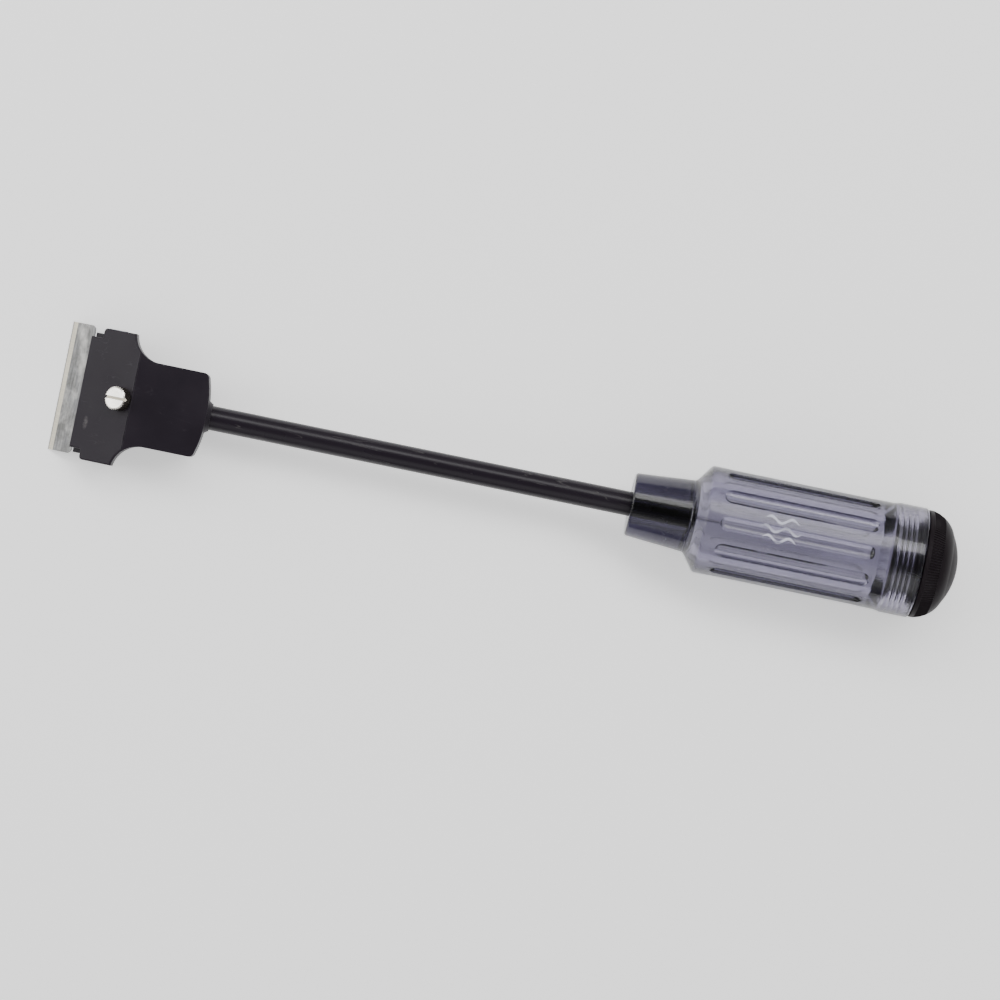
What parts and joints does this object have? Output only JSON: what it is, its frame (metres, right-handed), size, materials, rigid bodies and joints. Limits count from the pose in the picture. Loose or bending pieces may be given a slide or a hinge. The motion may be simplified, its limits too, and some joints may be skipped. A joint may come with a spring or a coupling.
{
  "type": "algae scraper",
  "caption": "Long-handled razor-blade algae scraper: angled clamp head, steel shaft, and clear fluted handle that stores spare blades under a screw cap.",
  "frame": {"origin": "under the middle of the tool's length, at the height of the lowest point of the handle", "axes": "+X along the shaft from the blade to the cap, +Z square to the flat neck of the head, up"},
  "size_m": [0.2674, 0.0391, 0.0326],
  "materials": {
    "handle_plastic": "clear smoke-grey moulded plastic",
    "head_plastic": "black moulded plastic, satin",
    "cap_plastic": "black moulded plastic, semi-gloss",
    "shaft_coat": "glossy black enamel on steel",
    "blade_steel": "ground carbon steel",
    "spine_steel": "rolled steel strip",
    "screw_nickel": "nickel plated",
    "spring_steel": "spring steel",
    "insert_brass": "machined brass",
    "seal_rubber": "nitrile rubber"
  },
  "bodies": {
    "root": {"handle_shell": "handle_plastic", "shaft": "shaft_coat", "head_base": "head_plastic", "head_pin": "spring_steel", "clamp_nut": "insert_brass"},
    "clamp_plate": {"clamp_plate": "head_plastic", "screw_clip": "spring_steel"},
    "clamp_screw": {"clamp_screw": "screw_nickel"},
    "blade": {"blade": "blade_steel", "blade_spine": "spine_steel"},
    "spare_blade": {"spare_blade": "blade_steel", "spare_blade_spine": "spine_steel"},
    "cap_seal": {"cap_seal": "seal_rubber"},
    "cap": {"cap": "cap_plastic"}
  },
  "joints": [
    {"name": "jaw_lift", "type": "slide", "parent": "root", "child": "clamp_plate", "axis": [-0.4695, 0, 0.8829], "range_m": [0, 0.0028]},
    {"name": "screw_turn", "type": "hinge", "parent": "clamp_plate", "child": "clamp_screw", "pos_m": [-0.11459, 0, 0.02019], "axis": [-0.4695, 0, 0.8829], "range_deg": [0, 1440]},
    {"name": "blade_slide", "type": "slide", "parent": "root", "child": "blade", "axis": [-0.8829, 0, -0.4695], "range_m": [0, 0.012]},
    {"name": "cap_travel", "type": "slide", "parent": "root", "child": "cap_seal", "axis": [1, 0, 0], "range_m": [0, 0.01]},
    {"name": "cap_turn", "type": "hinge", "parent": "cap_seal", "child": "cap", "pos_m": [0.1225, 0, 0.0163], "axis": [1, 0, 0], "range_deg": [0, 2400]},
    {"name": "spare_slide", "type": "slide", "parent": "root", "child": "spare_blade", "axis": [1, 0, 0], "range_m": [0, 0.015]}
  ],
  "couplings": [
    {"joint": "screw_turn", "follows": "jaw_lift", "rad_per_m": 8976},
    {"joint": "cap_turn", "follows": "cap_travel", "rad_per_m": 4188.8}
  ]
}
